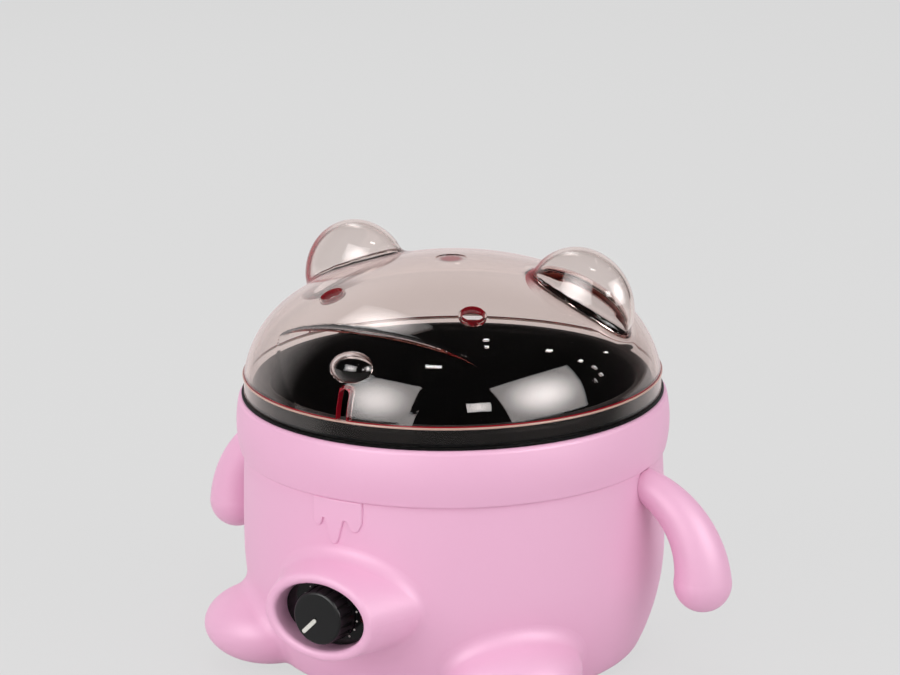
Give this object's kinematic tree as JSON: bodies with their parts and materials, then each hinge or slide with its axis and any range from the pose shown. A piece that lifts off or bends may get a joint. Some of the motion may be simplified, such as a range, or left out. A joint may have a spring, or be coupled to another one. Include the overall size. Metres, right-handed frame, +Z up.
{
  "type": "wax warmer",
  "caption": "Round electric wax warmer shaped like a sitting bear: tub with feet, arms and belly dial, lift-out pot and clear domed lid with ears, muzzle, nose and steam holes.",
  "frame": {"origin": "on the table, under the pot's axis", "axes": "+Z up along the pot's axis, -Y the way the bear faces, +X to its left hand, the viewer's right"},
  "size_m": [0.2162, 0.1703, 0.1513],
  "materials": {
    "pink": "satin",
    "clear_rose": "clear polished",
    "pot_black": "satin non-stick coating",
    "well_aluminium": "spun",
    "gasket_silicone": "matte",
    "screw_steel": "zinc plated",
    "fitting_steel": "zinc plated",
    "mica": "flaky matte",
    "contact_brass": "plated",
    "stat_case": "matte",
    "bulb_copper": "copper, dull",
    "dial_black": "gloss",
    "knob_black": "satin",
    "lens_amber": "clear",
    "lamp_glass": "clear",
    "inlet_black": "fine texture",
    "fuse_metal": "plated",
    "base_grey": "fine texture",
    "pad_rubber": "matte",
    "wire_brown": "matte",
    "wire_blue": "matte",
    "wire_white": "matte"
  },
  "bodies": {
    "housing": {"tub_shell": "pink", "collar_ring": "pink", "arm_left": "pink", "arm_right": "pink", "heating_well": "well_aluminium", "heater_disc": "well_aluminium", "well_gasket": "gasket_silicone", "arm_screws": "screw_steel", "well_screws": "screw_steel", "base_screws": "screw_steel", "clamp_plate": "fitting_steel", "clamp_nut": "fitting_steel", "bulb_clips": "fitting_steel", "fuse_clip": "fitting_steel", "thermostat_nut": "fitting_steel", "mica_sheet": "mica", "heater_terminals": "contact_brass", "thermostat_blades": "contact_brass", "inlet_pins": "contact_brass", "thermostat": "stat_case", "sensor_bulb": "bulb_copper", "dial_plate": "dial_black", "lamp_lens": "lens_amber", "lamp": "lamp_glass", "mains_inlet": "inlet_black", "thermal_fuse": "fuse_metal", "base_cover": "base_grey", "base_pad": "pad_rubber", "live_wire": "wire_brown", "neutral_wire": "wire_blue", "thermostat_wire": "wire_white", "fuse_wire": "wire_white"},
    "pot": {"wax_pot": "pot_black"},
    "lid": {"lid": "clear_rose"},
    "dial": {"dial_knob": "knob_black", "thermostat_shaft": "fitting_steel"}
  },
  "joints": [
    {"name": "pot_lift", "type": "slide", "parent": "housing", "child": "pot", "axis": [0, 0, 1], "range_m": [0, 0.1]},
    {"name": "lid_lift", "type": "slide", "parent": "pot", "child": "lid", "axis": [0, 0, 1], "range_m": [0, 0.12]},
    {"name": "dial_turn", "type": "hinge", "parent": "housing", "child": "dial", "pos_m": [0, -0.084, 0.0395], "axis": [0, 1, 0], "range_deg": [0, 270]}
  ]
}
